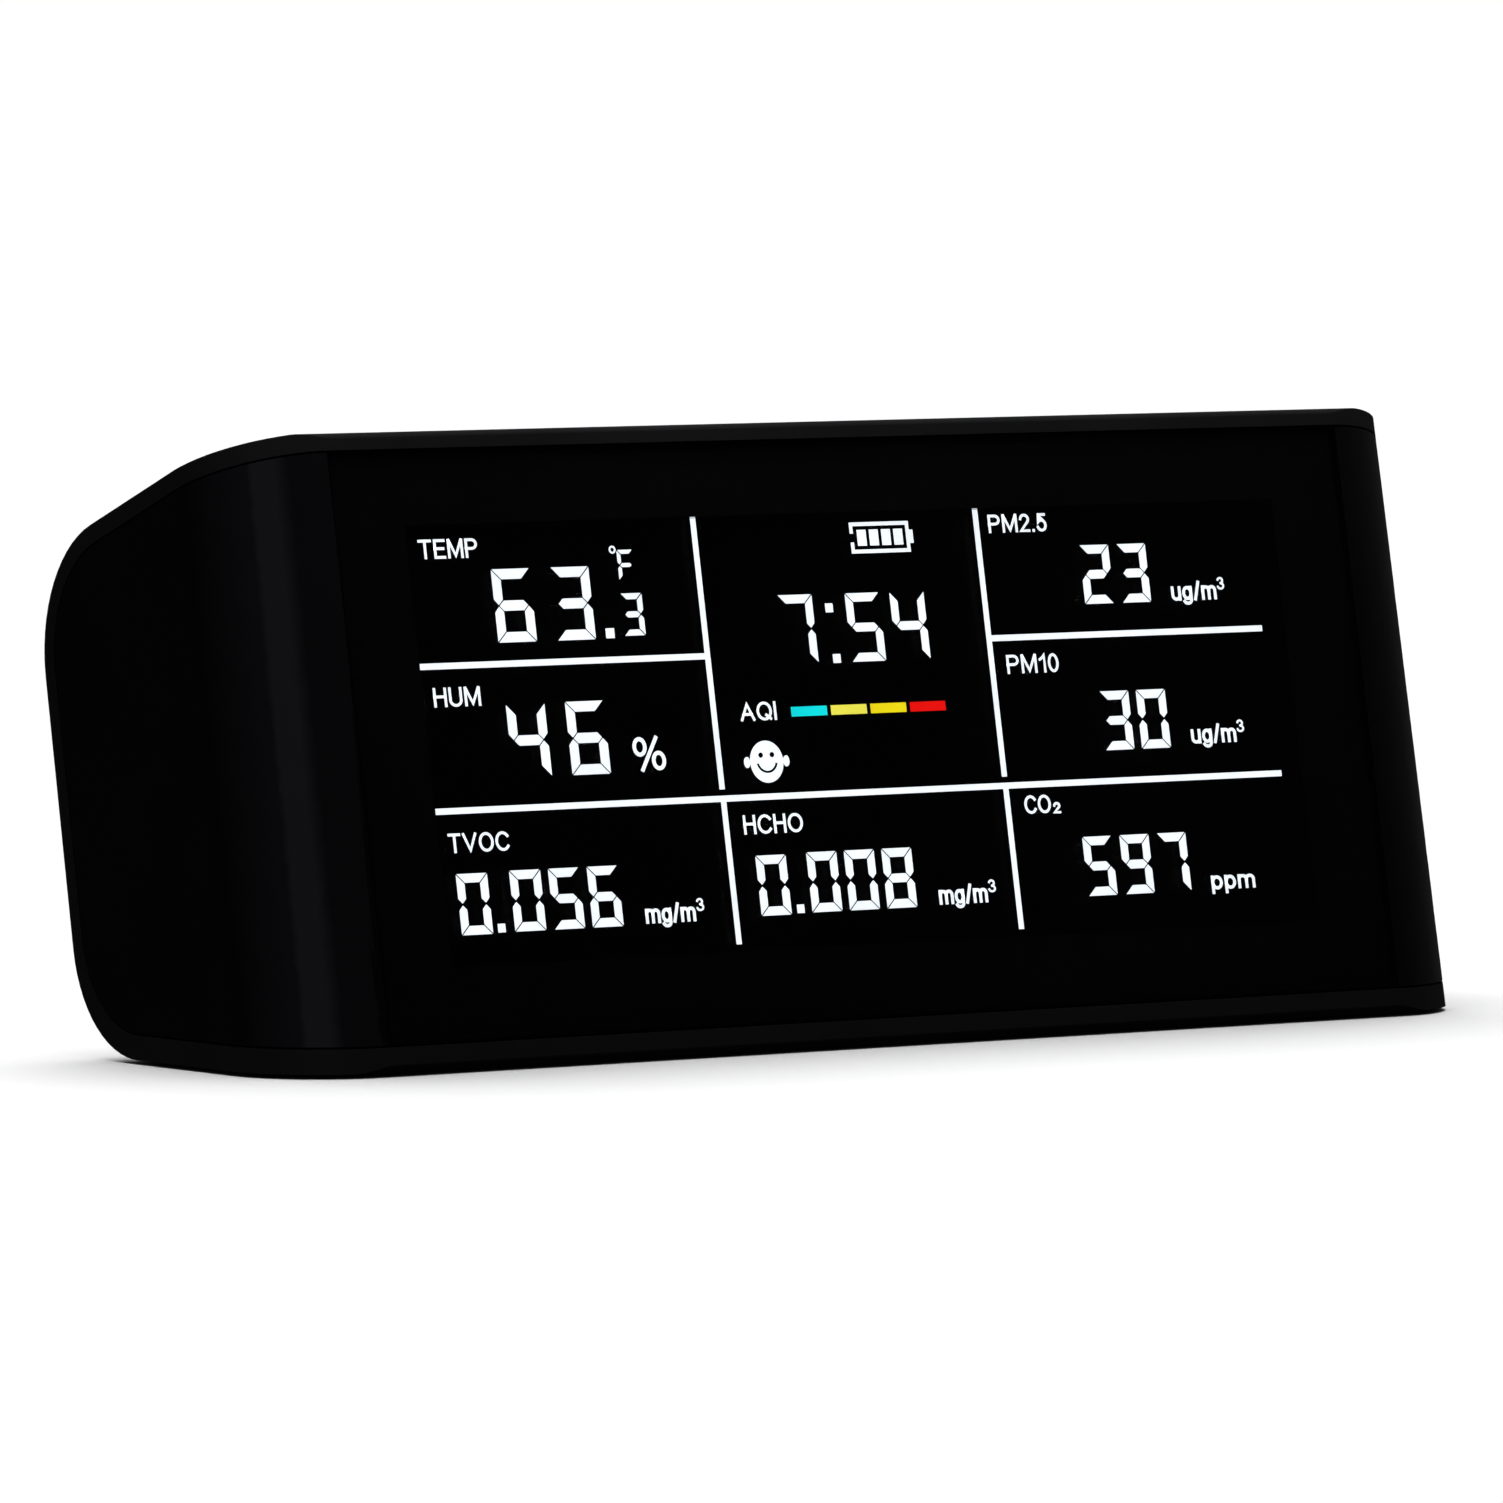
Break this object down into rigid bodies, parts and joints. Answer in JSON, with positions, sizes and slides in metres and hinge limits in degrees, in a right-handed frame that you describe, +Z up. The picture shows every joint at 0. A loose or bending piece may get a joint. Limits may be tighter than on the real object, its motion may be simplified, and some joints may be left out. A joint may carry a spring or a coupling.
{
  "type": "air quality monitor",
  "caption": "Desk air monitor: backward-leaning rounded shell, glossy wrapped front with a flat display lens, rear vents, push buttons and a charging port.",
  "frame": {"origin": "on the table under the middle of the body, level with the feet undersides", "axes": "+Z up, +X along the width towards the right of someone who reads the display, -Y towards that reader"},
  "size_m": [0.16, 0.0521, 0.0688],
  "materials": {
    "shell_black": "fine matte texture",
    "gloss_black": "polished",
    "lens_clear": "polished, smoked",
    "tape": "matte",
    "lcd_glass": "polished",
    "light_guide": "satin",
    "tray_plastic": "matte",
    "ribbon": "satin",
    "board": "solder mask",
    "chip": "matte",
    "socket_plastic": "matte",
    "battery_wrap": "foil",
    "foam": "open foam",
    "wire": "satin",
    "co2_can": "gold flash",
    "gas_cell": "matte",
    "steel": "satin",
    "white_plastic": "matte",
    "buzzer_plastic": "satin",
    "sensor_metal": "anodised",
    "brass": "satin",
    "fan_plastic": "satin",
    "dust_cloth": "fine mesh",
    "switch_metal": "satin",
    "screw_black": "black oxide",
    "rubber": "matte",
    "button_black": "satin"
  },
  "bodies": {
    "case": {"housing": "shell_black", "front_bezel": "gloss_black", "lens": "lens_clear", "lens_tape": "tape", "lcd_panel": "lcd_glass", "backlight": "light_guide", "display_tray": "tray_plastic", "display_ribbon": "ribbon", "main_board": "board", "board_chips": "chip", "board_sockets": "socket_plastic", "battery": "battery_wrap", "battery_pad": "foam", "battery_lead": "wire", "co2_sensor": "co2_can", "formaldehyde_sensor": "gas_cell", "voc_sensor": "steel", "climate_sensor": "white_plastic", "buzzer": "buzzer_plastic", "sensor_case": "sensor_metal", "sensor_lid": "sensor_metal", "sensor_board": "board", "scatter_chamber": "tray_plastic", "laser_module": "brass", "sensor_pad": "foam", "sensor_link": "ribbon", "fan_motor": "steel", "vent_mesh": "dust_cloth", "button_switches": "switch_metal", "io_board": "board", "usb_port": "steel", "link_ribbon": "ribbon", "link_socket": "socket_plastic", "case_screws": "screw_black", "board_screws": "steel", "sensor_screws": "steel", "rubber_feet": "rubber"},
    "down_button": {"down_button": "button_black"},
    "up_button": {"up_button": "button_black"},
    "mode_button": {"mode_button": "button_black"},
    "power_button": {"power_button": "button_black"},
    "fan": {"fan_rotor": "fan_plastic"}
  },
  "joints": [
    {"name": "down_press", "type": "slide", "parent": "case", "child": "down_button", "axis": [0, -0.9816, 0.1908], "range_m": [0, 0.0005], "stiffness_N_per_m": 500, "springref_m": -0.0005},
    {"name": "up_press", "type": "slide", "parent": "case", "child": "up_button", "axis": [0, -0.9816, 0.1908], "range_m": [0, 0.0005], "stiffness_N_per_m": 500, "springref_m": -0.0005},
    {"name": "mode_press", "type": "slide", "parent": "case", "child": "mode_button", "axis": [0, -0.9816, 0.1908], "range_m": [0, 0.0005], "stiffness_N_per_m": 500, "springref_m": -0.0005},
    {"name": "power_press", "type": "slide", "parent": "case", "child": "power_button", "axis": [0, -0.9816, 0.1908], "range_m": [0, 0.0005], "stiffness_N_per_m": 500, "springref_m": -0.0005},
    {"name": "fan_spin", "type": "hinge", "parent": "case", "child": "fan", "pos_m": [-0.028, 0.01154, 0.0281], "axis": [0, 0.9833, -0.1822], "continuous": true}
  ]
}
